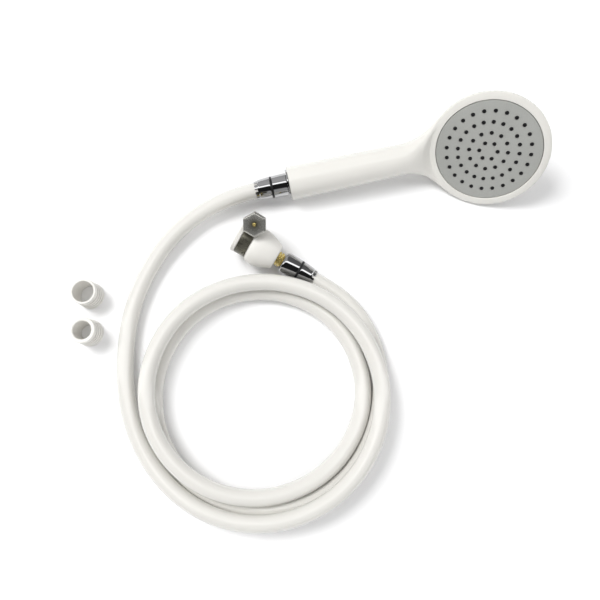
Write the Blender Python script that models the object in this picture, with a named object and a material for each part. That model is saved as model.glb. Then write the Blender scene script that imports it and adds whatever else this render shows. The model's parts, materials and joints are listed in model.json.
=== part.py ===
"""Handheld bath sprayer with a long hose, a slip-on tap connector and two loose reducer sleeves.

Everything lies on a floor at Z = 0 as it comes out of the box: the hose coiled nearly three
times round, the sprayer resting on its rim and the tap connector on its side.
Sizes are in millimetres and degrees; MM turns them into Blender's metres. Every group of
turned pieces is drawn along the local X axis of an empty, which is also the axis it turns on.
"""
import math

import bmesh
import bpy
import numpy as np
from mathutils import Matrix, Vector

MM = 0.001
GAP = 0.3                       # clearance between neighbouring pieces

# Where the groups lie. The origin is the middle of the footprint, on the floor.
FRAME_SHIFT = (-7.37, 15.90)
COIL_CENTRE = (-33.9, -80.2)
HANDLE_END = (-9.5, 100.8, 16.2)
HANDLE_HEADING, HANDLE_RISE, HEAD_ROLL = 11.65, 2.8, 43.6
TAP_RING = (-1.35, 23.95, 10.6)
TAP_HEADING, TAP_RISE, TAP_ROLL = 150.7, 9.5, -19.0
SLEEVES = (                     # name, centre and bore radius
    ("reducer_sleeve_wide", (-182.6, 3.5), 8.8),
    ("reducer_sleeve_narrow", (-181.4, -29.2), 7.55),
)

# Sprayer head and handle
HEAD_CENTRE, FACE_PITCH = (170.0, 0.0, 21.4), 20.2
HEAD_R, PLATE_R, PLATE_POCKET_R = 50.8, 43.3, 43.7
HANDLE_R, NECK_R, HANDLE_BORE_R = 14.4, 13.0, 10.5
PLATE_T, MAT_T = 2.4, 1.3
NOZZLE_RINGS = ((7.5, 6), (15.9, 12), (25.2, 20), (34.5, 24))
NOZZLE_CLOCK, NOZZLE_HOLE_R, NOZZLE_R = -9.9, 1.5, 1.1
SEAL_R, SEAL_WIRE_R = 38.55, 1.4

# Hose and its two couplings, each measured back from the face of what it is screwed to
HOSE_R, HOSE_BORE_R, HOSE_STEP, HOSE_SIDES = 7.0, 4.6, 17.0, 8
NUT_REAR, NUT_R, NUT_REAR_R, NUT_COUNTERBORE_R = -14.6, 9.8, 9.45, 7.2
RING_FRONT, RING_REAR = -14.9, -16.0
FERRULE_FRONT, FERRULE_END, TAIL_END = -16.3, -27.2, -30.3
FERRULE_FRONT_R, FERRULE_REAR_R, TAIL_R, FERRULE_BORE_R = 9.4, 8.4, 8.0, 7.35
SLOTS, SLOT_WIDTH = 8, 2.2
HOSE_START, BARB_END, BARB_R, BARB_BORE_R = -17.0, -34.0, 3.9, 2.6

# Tap connector, measured from the narrow end of its soft body
BODY_FACE = 6.3                 # from the coupling's face to the body's narrow end
BODY_LENGTH, MOUTH_R, LIP_R, SOCKET_FLOOR = 38.6, 11.6, 14.2, 12.0
BAND_START, BAND_WIDTH, BAND_IN_R, BAND_T = 25.1, 9.4, 13.3, 0.6
EAR_GAP, EAR_T, EAR_REACH = 4.4, 0.9, 21.5
SCREW_Y, SCREW_R, SCREW_HOLE_R, SCREW_TIP_R = -17.0, 1.9, 2.2, 1.4
CAP_ACROSS_FLATS, CAP_BEVEL, CAP_BOTTOM, CAP_TOP = 18.4, 1.2, 14.3, 20.8

SLEEVE_H, SLEEVE_R, RIB_DEPTH, RIBS = 22.0, 11.5, 0.8, 4

# The hose's centre line from the tap coupling to the handle coupling, going clockwise round
# COIL_CENTRE: degrees travelled from the +X side, distance from the centre, height
COIL = (
    (-46, 107.0, 7.3), (-24, 104.8, 7.2), (0, 101.7, 7.2), (45, 98.2, 7.2), (90, 94.0, 7.2),
    (135, 90.4, 7.2), (180, 88.2, 7.2), (225, 86.8, 7.2), (270, 86.0, 7.2), (315, 86.6, 7.2),
    (360, 87.0, 7.3), (405, 84.2, 12.0), (450, 83.6, 17.6), (480, 85.6, 21.0), (510, 88.8, 21.6),
    (540, 91.7, 21.2), (585, 92.4, 20.5), (630, 92.1, 20.1), (675, 96.4, 20.9), (720, 101.0, 21.5),
    (765, 102.6, 20.9), (810, 103.2, 18.1), (838, 103.8, 13.9), (866, 105.4, 8.5), (892, 109.6, 7.3),
    (913, 117.0, 7.2), (932, 130.0, 7.4), (948, 143.6, 8.3), (961, 155.9, 9.8), (973, 165.6, 11.6),
)

WHITE, WARM_WHITE, GREY = (0.90, 0.90, 0.88), (0.88, 0.87, 0.84), (0.46, 0.47, 0.46)
CHROME, STEEL = (0.72, 0.72, 0.74), (0.34, 0.34, 0.32)
BRASS, BLACK = (0.80, 0.58, 0.22), (0.02, 0.02, 0.02)


def make_material(name, colour, roughness, metallic=0.0):
    material = bpy.data.materials.new(name)
    material.use_nodes = True
    shader = material.node_tree.nodes["Principled BSDF"]
    shader.inputs["Base Color"].default_value = (*colour, 1.0)
    shader.inputs["Roughness"].default_value = roughness
    shader.inputs["Metallic"].default_value = metallic
    return material


def axis_empty(name, parent, location, *turns):
    """An empty at a point in millimetres, turned by (degrees, axis) steps in its parent's frame."""
    empty = bpy.data.objects.new(name, None)
    bpy.context.collection.objects.link(empty)
    empty.parent = parent
    matrix = Matrix.Translation(Vector(location) * MM)
    for degrees, axis in turns:
        matrix = matrix @ Matrix.Rotation(math.radians(degrees), 4, axis)
    empty.matrix_local = matrix
    return empty


def finish_object(name, mesh, look, parent):
    """A visible piece with a material of its own; look is its colour, roughness and metallic value."""
    bmesh.ops.recalc_face_normals(mesh, faces=mesh.faces)
    data = bpy.data.meshes.new(name)
    mesh.to_mesh(data)
    mesh.free()
    data.transform(Matrix.Scale(MM, 4))
    data.shade_smooth()
    data.set_sharp_from_angle(angle=math.radians(35))
    data.materials.append(make_material(name, *look))
    piece = bpy.data.objects.new(name, data)
    bpy.context.collection.objects.link(piece)
    piece.parent = parent
    return piece


def hexagon_radius(across_flats, angle):
    """Distance from the centre to a hexagon's edge, with a corner at angle 0."""
    return across_flats / 2 / math.cos(angle % (math.pi / 3) - math.pi / 6)


def turned(name, outline, sides, look, parent):
    """Turn a closed outline of (along X, radius) round X. A third value makes it hexagonal there:
    the radius is then half the distance across flats, and the value is the angle of a corner.
    An outline with two points on the axis makes a solid end."""
    mesh = bmesh.new()
    add_turned(mesh, outline, sides)
    return finish_object(name, mesh, look, parent)


def add_turned(mesh, outline, sides):
    rings = []
    for x, radius, *corner in outline:
        count = sides if radius > 0 else 1
        ring = []
        for k in range(count):
            angle = 2 * math.pi * k / sides
            r = hexagon_radius(2 * radius, angle - math.radians(corner[0])) if corner else radius
            ring.append(mesh.verts.new((x, r * math.cos(angle), r * math.sin(angle))))
        rings.append(ring)
    for here, there in zip(rings, rings[1:] + rings[:1]):
        for k in range(sides):
            n = (k + 1) % sides
            corners = [ring[step % len(ring)]
                       for ring, step in ((here, k), (here, n), (there, n), (there, k))]
            corners = list(dict.fromkeys(corners))
            if len(corners) > 2:
                mesh.faces.new(corners)


def cutter_from(name, mesh, parent):
    cutter = finish_object(name, mesh, (BLACK, 0.5), parent)
    cutter.hide_render = True
    cutter.display_type = "WIRE"
    return cutter


def boolean(piece, other, operation):
    modifier = piece.modifiers.new(other.name, "BOOLEAN")
    modifier.operation = operation
    modifier.solver = "EXACT"
    modifier.object = other


def add_box(mesh, low, high):
    corners = [(x, y, z) for x in (low[0], high[0]) for y in (low[1], high[1]) for z in (low[2], high[2])]
    verts = [mesh.verts.new(corner) for corner in corners]
    for face in ((0, 1, 3, 2), (4, 6, 7, 5), (0, 4, 5, 1), (2, 3, 7, 6), (0, 2, 6, 4), (1, 5, 7, 3)):
        mesh.faces.new([verts[k] for k in face])


def nozzle_places():
    """(y, z) of each nozzle on the face, whose Z points back at the handle."""
    places = []
    for radius, count in NOZZLE_RINGS:
        for k in range(count):
            angle = math.radians(NOZZLE_CLOCK + 360 * k / count)
            places.append((radius * math.sin(angle), -radius * math.cos(angle)))
    return places


def add_pegs(mesh, places, radius, back, front, sides=5):
    """Short round pegs along X at the given (y, z) places, each a closed body."""
    for y, z in places:
        rings = []
        for x in (back, front):
            angles = [2 * math.pi * k / sides for k in range(sides)]
            rings.append([mesh.verts.new((x, y + radius * math.cos(a), z + radius * math.sin(a)))
                          for a in angles])
        mesh.faces.new(rings[0][::-1])
        mesh.faces.new(rings[1])
        for k in range(sides):
            n = (k + 1) % sides
            mesh.faces.new((rings[0][k], rings[0][n], rings[1][n], rings[1][k]))


def head_profile():
    """Half section of the head: a shallow dome behind, a rounded rim and a flat front."""
    return [(-25.0, 0), (-24.4, 11), (-22.0, 22), (-17.0, 34), (-10.5, 43.5), (-5.0, 48.8),
            (-2.0, HEAD_R), (-0.6, HEAD_R - 0.4), (0.3, HEAD_R - 2.2), (0.3, 0)]


def make_handle_shell(sprayer, head):
    """The one white moulding: handle, neck and the back of the head, hollow for the water."""
    handle = [(0, 0), (0, HANDLE_R - 0.8), (0.9, HANDLE_R), (45, 14.1), (100, NECK_R + 0.2),
              (130, NECK_R - 0.4), (148, 11.4), (157, 7.0), (160, 0)]
    shell = turned("handle_shell", handle, 24, (WHITE, 0.18), sprayer)

    dome = bmesh.new()
    add_turned(dome, head_profile(), 36)
    boolean(shell, cutter_from("head_form", dome, head), "UNION")

    neck = bmesh.new()
    for k in range(12):
        angle = 2 * math.pi * k / 12
        neck.verts.new((106, NECK_R * math.cos(angle), NECK_R * math.sin(angle)))
        neck.verts.new((134, 25 * math.cos(angle), -2.5 + 8 * math.sin(angle)))
    bmesh.ops.convex_hull(neck, input=neck.verts)
    boolean(shell, cutter_from("neck_form", neck, sprayer), "UNION")

    pocket = bmesh.new()
    add_turned(pocket, [(20.3, 0), (20.3, HEAD_R + 14.6), (0.35, HEAD_R - 2.2), (0.35, PLATE_POCKET_R),
                        (-6.2, PLATE_POCKET_R), (-6.2, 40.5), (-10, 40.5), (-10, 24),
                        (-17.5, 24), (-17.5, 0)], 36)
    boolean(shell, cutter_from("pocket_form", pocket, head), "DIFFERENCE")

    inlet = bmesh.new()
    add_turned(inlet, [(-2, 0), (-2, HANDLE_BORE_R), (20, HANDLE_BORE_R), (20, 0)], 24)
    boolean(shell, cutter_from("inlet_form", inlet, sprayer), "DIFFERENCE")

    passage_axis = axis_empty("passage_axis", sprayer, (16, 0, 0), (2.1, "Y"))
    passage = bmesh.new()
    add_turned(passage, [(0, 0), (0, 4.0), (136, 4.0), (136, 0)], 10)
    boolean(shell, cutter_from("passage_form", passage, passage_axis), "DIFFERENCE")


def make_face(head):
    """What closes the head: plate, rubber nozzles, the disc that spreads the water, and the seal."""
    plate = turned("face_plate", [(-PLATE_T, 0), (-PLATE_T, PLATE_R), (-0.3, PLATE_R),
                                  (0, PLATE_R - 0.3), (0, 0)], 36, (GREY, 0.42), head)
    holes = bmesh.new()
    add_pegs(holes, nozzle_places(), NOZZLE_HOLE_R, -PLATE_T - 1, 1)
    boolean(plate, cutter_from("nozzle_holes", holes, head), "DIFFERENCE")

    mat_front = -PLATE_T - GAP
    mat = turned("nozzle_mat", [(mat_front - MAT_T, 0), (mat_front - MAT_T, PLATE_R),
                                (mat_front, PLATE_R), (mat_front, 0)], 24, (BLACK, 0.6), head)
    nozzles = bmesh.new()
    add_pegs(nozzles, nozzle_places(), NOZZLE_R, mat_front - MAT_T / 2, 0.3)
    boolean(mat, cutter_from("nozzle_pegs", nozzles, head), "UNION")

    front = mat_front - MAT_T - GAP
    back, skirt = front - 1.5, front - 5.2
    disc = turned("spray_distributor", [(front, 0), (front, PLATE_R), (back, PLATE_R), (back, 36.6),
                                        (skirt, 36.6), (skirt, 34.4), (back, 34.4), (back, 0)],
                  24, (WARM_WHITE, 0.4), head)
    ports = bmesh.new()
    places = [(20 * math.cos(math.pi * k / 4), 20 * math.sin(math.pi * k / 4)) for k in range(8)]
    add_pegs(ports, places, 2.6, front - 3, front + 1, 8)
    boolean(disc, cutter_from("port_form", ports, head), "DIFFERENCE")

    wire = [(-7.8 + SEAL_WIRE_R * math.cos(a), SEAL_R + SEAL_WIRE_R * math.sin(a))
            for a in (math.pi / 3 * k for k in range(6))]
    turned("face_seal", wire, 24, (BLACK, 0.6), head)


def make_inlet(sprayer):
    """The metal insert in the handle's end, with its bright flange, and the washer inside it."""
    turned("inlet_insert", [(-1.5, 8.45), (-1.5, 12.2), (-1.2, 12.5), (-GAP, 12.5), (-GAP, 10.1),
                            (16, 10.1), (16, 5.2), (14.2, 5.2), (14.2, 8.45)],
           20, (CHROME, 0.15, 1.0), sprayer)
    turned("inlet_washer", [(11.6, 3.6), (11.6, 8.0), (13.8, 8.0), (13.8, 3.6)],
           20, (BLACK, 0.7), sprayer)


def make_coupling(prefix, axis, nut_outline):
    """Swivel nut, black ring, slotted ferrule, the barb that the hose is pushed on to, and its seal."""
    turned(prefix + "_nut", nut_outline, 20, (CHROME, 0.08, 1.0), axis)
    turned(prefix + "_swivel_ring", [(RING_REAR, 6.2), (RING_REAR, 9.4), (RING_FRONT, 9.4),
                                     (RING_FRONT, 6.2)], 20, (BLACK, 0.5), axis)
    ferrule = turned(prefix + "_ferrule", [
        (FERRULE_FRONT, FERRULE_BORE_R), (FERRULE_FRONT, FERRULE_FRONT_R),
        (FERRULE_END + 0.7, FERRULE_REAR_R), (FERRULE_END, TAIL_R),
        (TAIL_END, TAIL_R), (TAIL_END, FERRULE_BORE_R),
    ], 20, (CHROME, 0.08, 1.0), axis)
    slots = bmesh.new()
    for k in range(SLOTS // 2):
        first = len(slots.verts)
        add_box(slots, (TAIL_END - 1, -10, -SLOT_WIDTH / 2), (FERRULE_END - 0.4, 10, SLOT_WIDTH / 2))
        slots.verts.ensure_lookup_table()
        turn = Matrix.Rotation(2 * math.pi * (k + 0.5) / SLOTS, 4, "X")
        bmesh.ops.transform(slots, matrix=turn, verts=slots.verts[first:])
    boolean(ferrule, cutter_from(prefix + "_slots", slots, axis), "DIFFERENCE")
    ferrule.modifiers[-1].use_self = True

    barb = [(-7.6, BARB_BORE_R), (-7.6, 6.8), (-9.4, 6.8), (-9.4, 5.6),
            (HOSE_START + 0.4, 5.6), (HOSE_START + 0.4, BARB_R)]
    for start in (-18.5, -23.0, -27.5):
        barb += [(start, BARB_R - 0.5), (start - 3.6, BARB_R)]
    barb += [(BARB_END, BARB_R - 0.7), (BARB_END, BARB_BORE_R)]
    turned(prefix + "_barb", barb, 12, (BRASS, 0.3, 1.0), axis)
    turned(prefix + "_barb_seal", [(-11.4, 5.9), (-11.4, 6.9), (-9.8, 6.9), (-9.8, 5.9)],
           16, (BLACK, 0.6), axis)


def handle_nut_outline():
    """A barrel with a threaded spigot that goes into the handle's insert."""
    return [(NUT_REAR, NUT_COUNTERBORE_R), (NUT_REAR, NUT_REAR_R), (-2.2, NUT_R), (-1.8, NUT_R - 0.4),
            (-1.8, 8.05), (11.0, 8.05), (11.0, 4.4), (-7.2, 4.4), (-7.2, NUT_COUNTERBORE_R)]


def tap_nut_outline():
    """A barrel with a rounded shoulder, open in front for the nipple's thread."""
    return [(NUT_REAR, NUT_COUNTERBORE_R), (NUT_REAR, NUT_REAR_R), (-2.4, NUT_R), (-0.6, 9.1),
            (0.4, 7.9), (0.8, 7.0), (0.8, 5.9), (-7.0, 5.9), (-7.0, NUT_COUNTERBORE_R)]


def spline_through(points, step):
    """Points every step or so along a natural cubic spline through the given ones."""
    points = np.array(points)
    gaps = np.linalg.norm(np.diff(points, axis=0), axis=1)
    along = np.concatenate([[0.0], np.cumsum(gaps)])
    count = len(points)
    matrix = np.zeros((count, count))
    target = np.zeros((count, 3))
    matrix[0, 0] = matrix[-1, -1] = 1.0
    for k in range(1, count - 1):
        matrix[k, k - 1:k + 2] = gaps[k - 1], 2 * (gaps[k - 1] + gaps[k]), gaps[k]
        target[k] = 6 * ((points[k + 1] - points[k]) / gaps[k] - (points[k] - points[k - 1]) / gaps[k - 1])
    bend = np.linalg.solve(matrix, target)
    result = []
    for s in np.linspace(0, along[-1], round(along[-1] / step) + 1):
        k = min(int(np.searchsorted(along, s, side="right")) - 1, count - 2)
        left, right, gap = along[k + 1] - s, s - along[k], gaps[k]
        curve = (bend[k] * left ** 3 + bend[k + 1] * right ** 3) / (6 * gap)
        start, end = (points[n] / gap - bend[n] * gap / 6 for n in (k, k + 1))
        result.append(curve + start * left + end * right)
    return result


def hose_centre_line(tap_axis, handle_axis, step):
    """From the tap coupling, round the coil, to the handle coupling, in world millimetres."""
    def on_axis(axis, x):
        return np.array(axis.matrix_world @ Vector((x * MM, 0, 0))) / MM

    ends = (HOSE_START, HOSE_START - 9, TAIL_END)
    points = [on_axis(tap_axis, x) for x in ends]
    for travelled, radius, height in COIL:
        angle = math.radians(-travelled)
        points.append(np.array(shifted((COIL_CENTRE[0] + radius * math.cos(angle),
                                        COIL_CENTRE[1] + radius * math.sin(angle), height))))
    points += [on_axis(handle_axis, x) for x in ends[::-1]]
    return spline_through(points, step)


def make_hose(line):
    """An open tube: an outer and an inner skin joined at both ends."""
    sides = HOSE_SIDES
    mesh = bmesh.new()
    rings = []
    side = Vector((0, 0, 1))
    for k, point in enumerate(line):
        ahead = Vector(line[min(k + 1, len(line) - 1)]) - Vector(line[max(k - 1, 0)])
        ahead.normalize()
        side = (side - ahead * side.dot(ahead)).normalized()
        across = ahead.cross(side)
        pair = []
        for radius in (HOSE_R, HOSE_BORE_R):
            angles = [2 * math.pi * n / sides for n in range(sides)]
            pair.append([mesh.verts.new(Vector(point) + radius * (math.cos(a) * side
                                                                  + math.sin(a) * across))
                         for a in angles])
        rings.append(pair)
    loops = [pair[0] for pair in rings] + [pair[1] for pair in rings[::-1]]
    for here, there in zip(loops, loops[1:] + loops[:1]):
        for k in range(sides):
            n = (k + 1) % sides
            mesh.faces.new((here[k], here[n], there[n], there[k]))
    finish_object("hose", mesh, (WHITE, 0.2), None)


def make_connector(tap_axis, body_axis):
    """The soft slip-on body, its brass nipple and locknut, and the clamp band."""
    turned("connector_body", [
        (0, 5.35), (0, 10.2), (0.9, 11.3), (6, 13.6), (12, 15.5), (17, 16.5), (21, 16.3),
        (24.2, 15.0), (24.8, 13.0), (34.8, 13.0), (35.1, LIP_R), (38.0, LIP_R),
        (BODY_LENGTH, LIP_R - 0.6), (BODY_LENGTH, MOUTH_R), (SOCKET_FLOOR + 1.2, MOUTH_R),
        (SOCKET_FLOOR, MOUTH_R - 1.2), (SOCKET_FLOOR, 5.35)], 24, (WARM_WHITE, 0.38), body_axis)
    turned("brass_nipple", [
        (-6.6, 3.2), (-6.6, 5.5), (1.1, 5.5), (1.6, 4.9), (2.3, 4.9), (2.6, 5.7, 0), (6.0, 5.7, 0),
        (6.0, 5.0), (BODY_FACE + 16.6, 5.0), (BODY_FACE + 17, 4.6), (BODY_FACE + 17, 3.2)],
           12, (BRASS, 0.2, 1.0), tap_axis)
    floor = SOCKET_FLOOR + GAP
    turned("nipple_locknut", [(floor, 5.3), (floor, 6.5, 0), (floor + 3.4, 6.5, 0), (floor + 3.4, 5.3)],
           12, (BRASS, 0.25, 1.0), body_axis)

    band = bmesh.new()
    outline = band_outline()
    loops = [[band.verts.new((x, y, z)) for y, z in outline] for x in (BAND_START, BAND_START + BAND_WIDTH)]
    count = len(outline)
    for k in range(count):
        n = (k + 1) % count
        band.faces.new((loops[0][k], loops[0][n], loops[1][n], loops[1][k]))
    half = count // 2
    for loop in loops:
        for k in range(half - 1):
            band.faces.new((loop[k], loop[k + 1], loop[count - 2 - k], loop[count - 1 - k]))
    clamp = finish_object("clamp_band", band, (STEEL, 0.25, 1.0), body_axis)
    screw_axis = axis_empty("screw_axis", body_axis, (BAND_START + BAND_WIDTH / 2, SCREW_Y, 0), (-90, "Y"))
    hole = bmesh.new()
    add_turned(hole, [(-6, 0), (-6, SCREW_HOLE_R), (6, SCREW_HOLE_R), (6, 0)], 12)
    boolean(clamp, cutter_from("ear_holes", hole, screw_axis), "DIFFERENCE")
    return screw_axis


def band_outline():
    """The band's section with its two ears, outer side first and then back along the inner side."""
    def wrap(radius, z):
        start = math.pi - math.asin(z / radius)
        return [(radius * math.cos(a), radius * math.sin(a)) for a in np.linspace(start, -start, 29)]

    half_gap = EAR_GAP / 2
    sides = []
    for radius, z in ((BAND_IN_R + BAND_T, half_gap + EAR_T), (BAND_IN_R, half_gap)):
        sides.append([(-EAR_REACH, z), *wrap(radius, z), (-EAR_REACH, -z)])
    return sides[0] + sides[1][::-1]


def make_clamp_screw(screw_axis):
    """The screw that draws the ears together, with its large hexagonal cap, and what it bears on."""
    ear = EAR_GAP / 2 + EAR_T + GAP
    hole = SCREW_HOLE_R
    turned("clamp_nut", [(-ear - 3.2, hole), (-ear - 3.2, 3.1, 0), (-ear, 3.1, 0), (-ear, hole)],
           12, (BRASS, 0.3, 1.0), screw_axis)
    turned("clamp_spacer", [(ear, hole), (ear, 2.85), (12.9, 2.85), (12.9, hole)],
           12, (BRASS, 0.3, 1.0), screw_axis)
    turned("clamp_washer", [(13.2, hole), (13.2, 5.0), (14.0, 5.0), (14.0, hole)],
           16, (CHROME, 0.2, 1.0), screw_axis)
    turned("clamp_screw", [(-8.6, 0), (-8.6, SCREW_R - 0.4), (-8.2, SCREW_R), (CAP_BOTTOM, SCREW_R),
                           (CAP_BOTTOM, SCREW_TIP_R), (CAP_TOP + 0.2, SCREW_TIP_R),
                           (CAP_TOP + 0.7, 0.9), (CAP_TOP + 0.7, 0)],
           12, (BRASS, 0.25, 1.0), screw_axis)
    half, bottom = CAP_ACROSS_FLATS / 2, CAP_BOTTOM + GAP
    corner = 30                     # a corner points along the connector
    turned("hex_cap", [(bottom, 1.7), (bottom, half - 0.5, corner), (bottom + 0.5, half, corner),
                       (CAP_TOP - 0.8, half, corner), (CAP_TOP, half - CAP_BEVEL, corner),
                       (CAP_TOP, 1.7)], 12, (STEEL, 0.3, 1.0), screw_axis)


def make_sleeve(name, place, bore):
    """A short soft tube with ribs outside, standing on its end."""
    axis = axis_empty(name + "_axis", None, shifted((*place, 0)), (-90, "Y"))
    outline = [(0, bore), (0, SLEEVE_R - 0.8), (0.6, SLEEVE_R)]
    pitch = (SLEEVE_H - 5.4) / RIBS
    for k in range(RIBS):
        x = 2.2 + pitch * k
        outline += [(x, SLEEVE_R), (x + 1.1, SLEEVE_R - RIB_DEPTH), (x + 2.2, SLEEVE_R)]
    outline += [(SLEEVE_H - 0.6, SLEEVE_R), (SLEEVE_H, SLEEVE_R - 0.6), (SLEEVE_H, bore)]
    turned(name, outline, 20, (WARM_WHITE, 0.4), axis)


def shifted(point):
    return (point[0] + FRAME_SHIFT[0], point[1] + FRAME_SHIFT[1], point[2])


def main():
    for old in list(bpy.data.objects):
        bpy.data.objects.remove(old, do_unlink=True)

    sprayer = axis_empty("sprayer_axis", None, shifted(HANDLE_END),
                         (HANDLE_HEADING, "Z"), (-HANDLE_RISE, "Y"), (HEAD_ROLL, "X"))
    head = axis_empty("head_axis", sprayer, HEAD_CENTRE, (-90 - FACE_PITCH, "Y"))
    make_handle_shell(sprayer, head)
    make_face(head)
    make_inlet(sprayer)
    make_coupling("handle", sprayer, handle_nut_outline())

    ring = axis_empty("tap_ring_point", None, shifted(TAP_RING),
                      (TAP_HEADING, "Z"), (-TAP_RISE, "Y"), (TAP_ROLL, "X"))
    tap = axis_empty("tap_axis", ring, (-(RING_FRONT + RING_REAR) / 2, 0, 0))
    body = axis_empty("connector_axis", tap, (BODY_FACE, 0, 0))
    make_coupling("tap", tap, tap_nut_outline())
    make_clamp_screw(make_connector(tap, body))

    bpy.context.view_layer.update()
    make_hose(hose_centre_line(tap, sprayer, HOSE_STEP))
    for name, place, bore in SLEEVES:
        make_sleeve(name, place, bore)


main()
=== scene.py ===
"""Looks for the handheld bath sprayer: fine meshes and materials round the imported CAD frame.

Every piece is drawn in millimetres in the frame of the joint or CAD node it belongs to, and rides
on that node's body. Turned pieces lie along their frame's X axis, as they do in the CAD.
"""
import json
import math

import bmesh
import bpy
import numpy as np
from mathutils import Matrix, Vector


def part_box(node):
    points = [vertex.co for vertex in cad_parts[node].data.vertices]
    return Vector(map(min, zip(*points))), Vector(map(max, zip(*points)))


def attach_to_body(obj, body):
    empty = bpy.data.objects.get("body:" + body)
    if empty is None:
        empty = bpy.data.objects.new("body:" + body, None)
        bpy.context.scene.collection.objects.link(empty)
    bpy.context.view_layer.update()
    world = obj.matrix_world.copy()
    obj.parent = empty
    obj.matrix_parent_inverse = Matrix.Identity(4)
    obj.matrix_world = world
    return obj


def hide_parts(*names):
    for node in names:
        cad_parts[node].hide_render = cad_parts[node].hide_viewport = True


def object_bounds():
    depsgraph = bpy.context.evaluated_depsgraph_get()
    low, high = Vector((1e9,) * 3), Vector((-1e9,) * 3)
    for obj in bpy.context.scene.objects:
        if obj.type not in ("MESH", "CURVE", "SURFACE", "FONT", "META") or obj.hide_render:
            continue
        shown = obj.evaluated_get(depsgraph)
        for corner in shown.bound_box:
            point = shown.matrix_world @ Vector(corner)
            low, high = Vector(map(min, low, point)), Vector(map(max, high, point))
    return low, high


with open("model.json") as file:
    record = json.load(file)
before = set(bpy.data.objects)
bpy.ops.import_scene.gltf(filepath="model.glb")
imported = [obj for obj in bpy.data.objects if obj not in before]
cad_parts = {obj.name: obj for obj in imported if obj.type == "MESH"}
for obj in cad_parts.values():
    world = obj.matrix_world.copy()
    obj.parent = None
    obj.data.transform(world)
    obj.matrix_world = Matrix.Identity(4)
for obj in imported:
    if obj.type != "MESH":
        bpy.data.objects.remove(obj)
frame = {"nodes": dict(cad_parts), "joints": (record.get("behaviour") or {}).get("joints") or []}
cad_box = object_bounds()

MM = 0.001
nodes = frame["nodes"]
joints = {joint["name"]: joint for joint in frame["joints"]}


# ---------------------------------------------------------------- frames, all read from the CAD

def axes(origin, x, y, z):
    """A 4 x 4 matrix from an origin in metres and three unit vectors."""
    matrix = Matrix((x, y, z)).transposed().to_4x4()
    matrix.translation = origin
    return matrix


def node_points(name):
    return np.array([vertex.co for vertex in nodes[name].data.vertices], float)


def joint_point(name):
    return Vector(joints[name]["pos_m"]), Vector(joints[name]["axis"]).normalized()


plate_faces = nodes["face_plate"].data.polygons
face_normal = max(plate_faces, key=lambda face: face.area * (face.normal.z > 0)).normal.copy()
handle_origin, handle_x = joint_point("handle_swivel")
handle_y = face_normal.cross(handle_x).normalized()
SPRAYER = axes(handle_origin, handle_x, handle_y, handle_x.cross(handle_y))

plate_points = node_points("face_plate")
head_z = face_normal.cross(handle_y)
head_origin = face_normal * float((plate_points @ np.array(face_normal)).max())
for direction in (handle_y, head_z):
    reach = plate_points @ np.array(direction)
    head_origin = head_origin + direction * float(reach.min() + reach.max()) / 2
HEAD = axes(head_origin, face_normal, handle_y, head_z)

tap_origin, tap_x = joint_point("tap_swivel")
screw_origin, tap_z = joint_point("clamp_screw_turn")
tap_y = tap_z.cross(tap_x).normalized()
TAP = axes(tap_origin, tap_x, tap_y, tap_x.cross(tap_y))
body_start = float((node_points("connector_body") @ np.array(tap_x)).min() - tap_origin.dot(tap_x))
BODY = TAP @ Matrix.Translation((body_start, 0, 0))
SCREW = axes(screw_origin, tap_z, tap_y, tap_z.cross(tap_y))


def sleeve_frame(name):
    low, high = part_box(name)
    foot = Vector(((low.x + high.x) / 2, (low.y + high.y) / 2, low.z))
    return axes(foot, Vector((0, 0, 1)), Vector((0, 1, 0)), Vector((-1, 0, 0)))


# ---------------------------------------------------------------- materials

def add_node(tree, kind, **values):
    node = tree.nodes.new(kind)
    for key, value in values.items():
        if key in node.inputs:
            node.inputs[key].default_value = value
        else:
            setattr(node, key, value)
    return node


def noise(tree, coords, scale, stretch=(1, 1, 1), detail=3.0, rough=0.5):
    """A noise value; scale is cells a metre, stretch divides it along each axis."""
    mapping = add_node(tree, "ShaderNodeMapping")
    mapping.inputs["Scale"].default_value = tuple(scale / s for s in stretch)
    tree.links.new(coords, mapping.inputs["Vector"])
    texture = add_node(tree, "ShaderNodeTexNoise", Scale=1.0, Detail=detail, Roughness=rough)
    tree.links.new(mapping.outputs["Vector"], texture.inputs["Vector"])
    return texture.outputs["Fac"]


def ranged(tree, value, low, high, start=0.3, end=0.7):
    node = add_node(tree, "ShaderNodeMapRange")
    node.inputs["From Min"].default_value = start
    node.inputs["From Max"].default_value = end
    node.inputs["To Min"].default_value = low
    node.inputs["To Max"].default_value = high
    tree.links.new(value, node.inputs["Value"])
    return node.outputs["Result"]


def mixed(tree, factor, first, second):
    node = add_node(tree, "ShaderNodeMix", data_type="RGBA")
    tree.links.new(factor, node.inputs["Factor"])
    for socket, value in ((6, first), (7, second)):
        if isinstance(value, tuple):
            node.inputs[socket].default_value = (*value, 1.0)
        else:
            tree.links.new(value, node.inputs[socket])
    return node.outputs[2]


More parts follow.
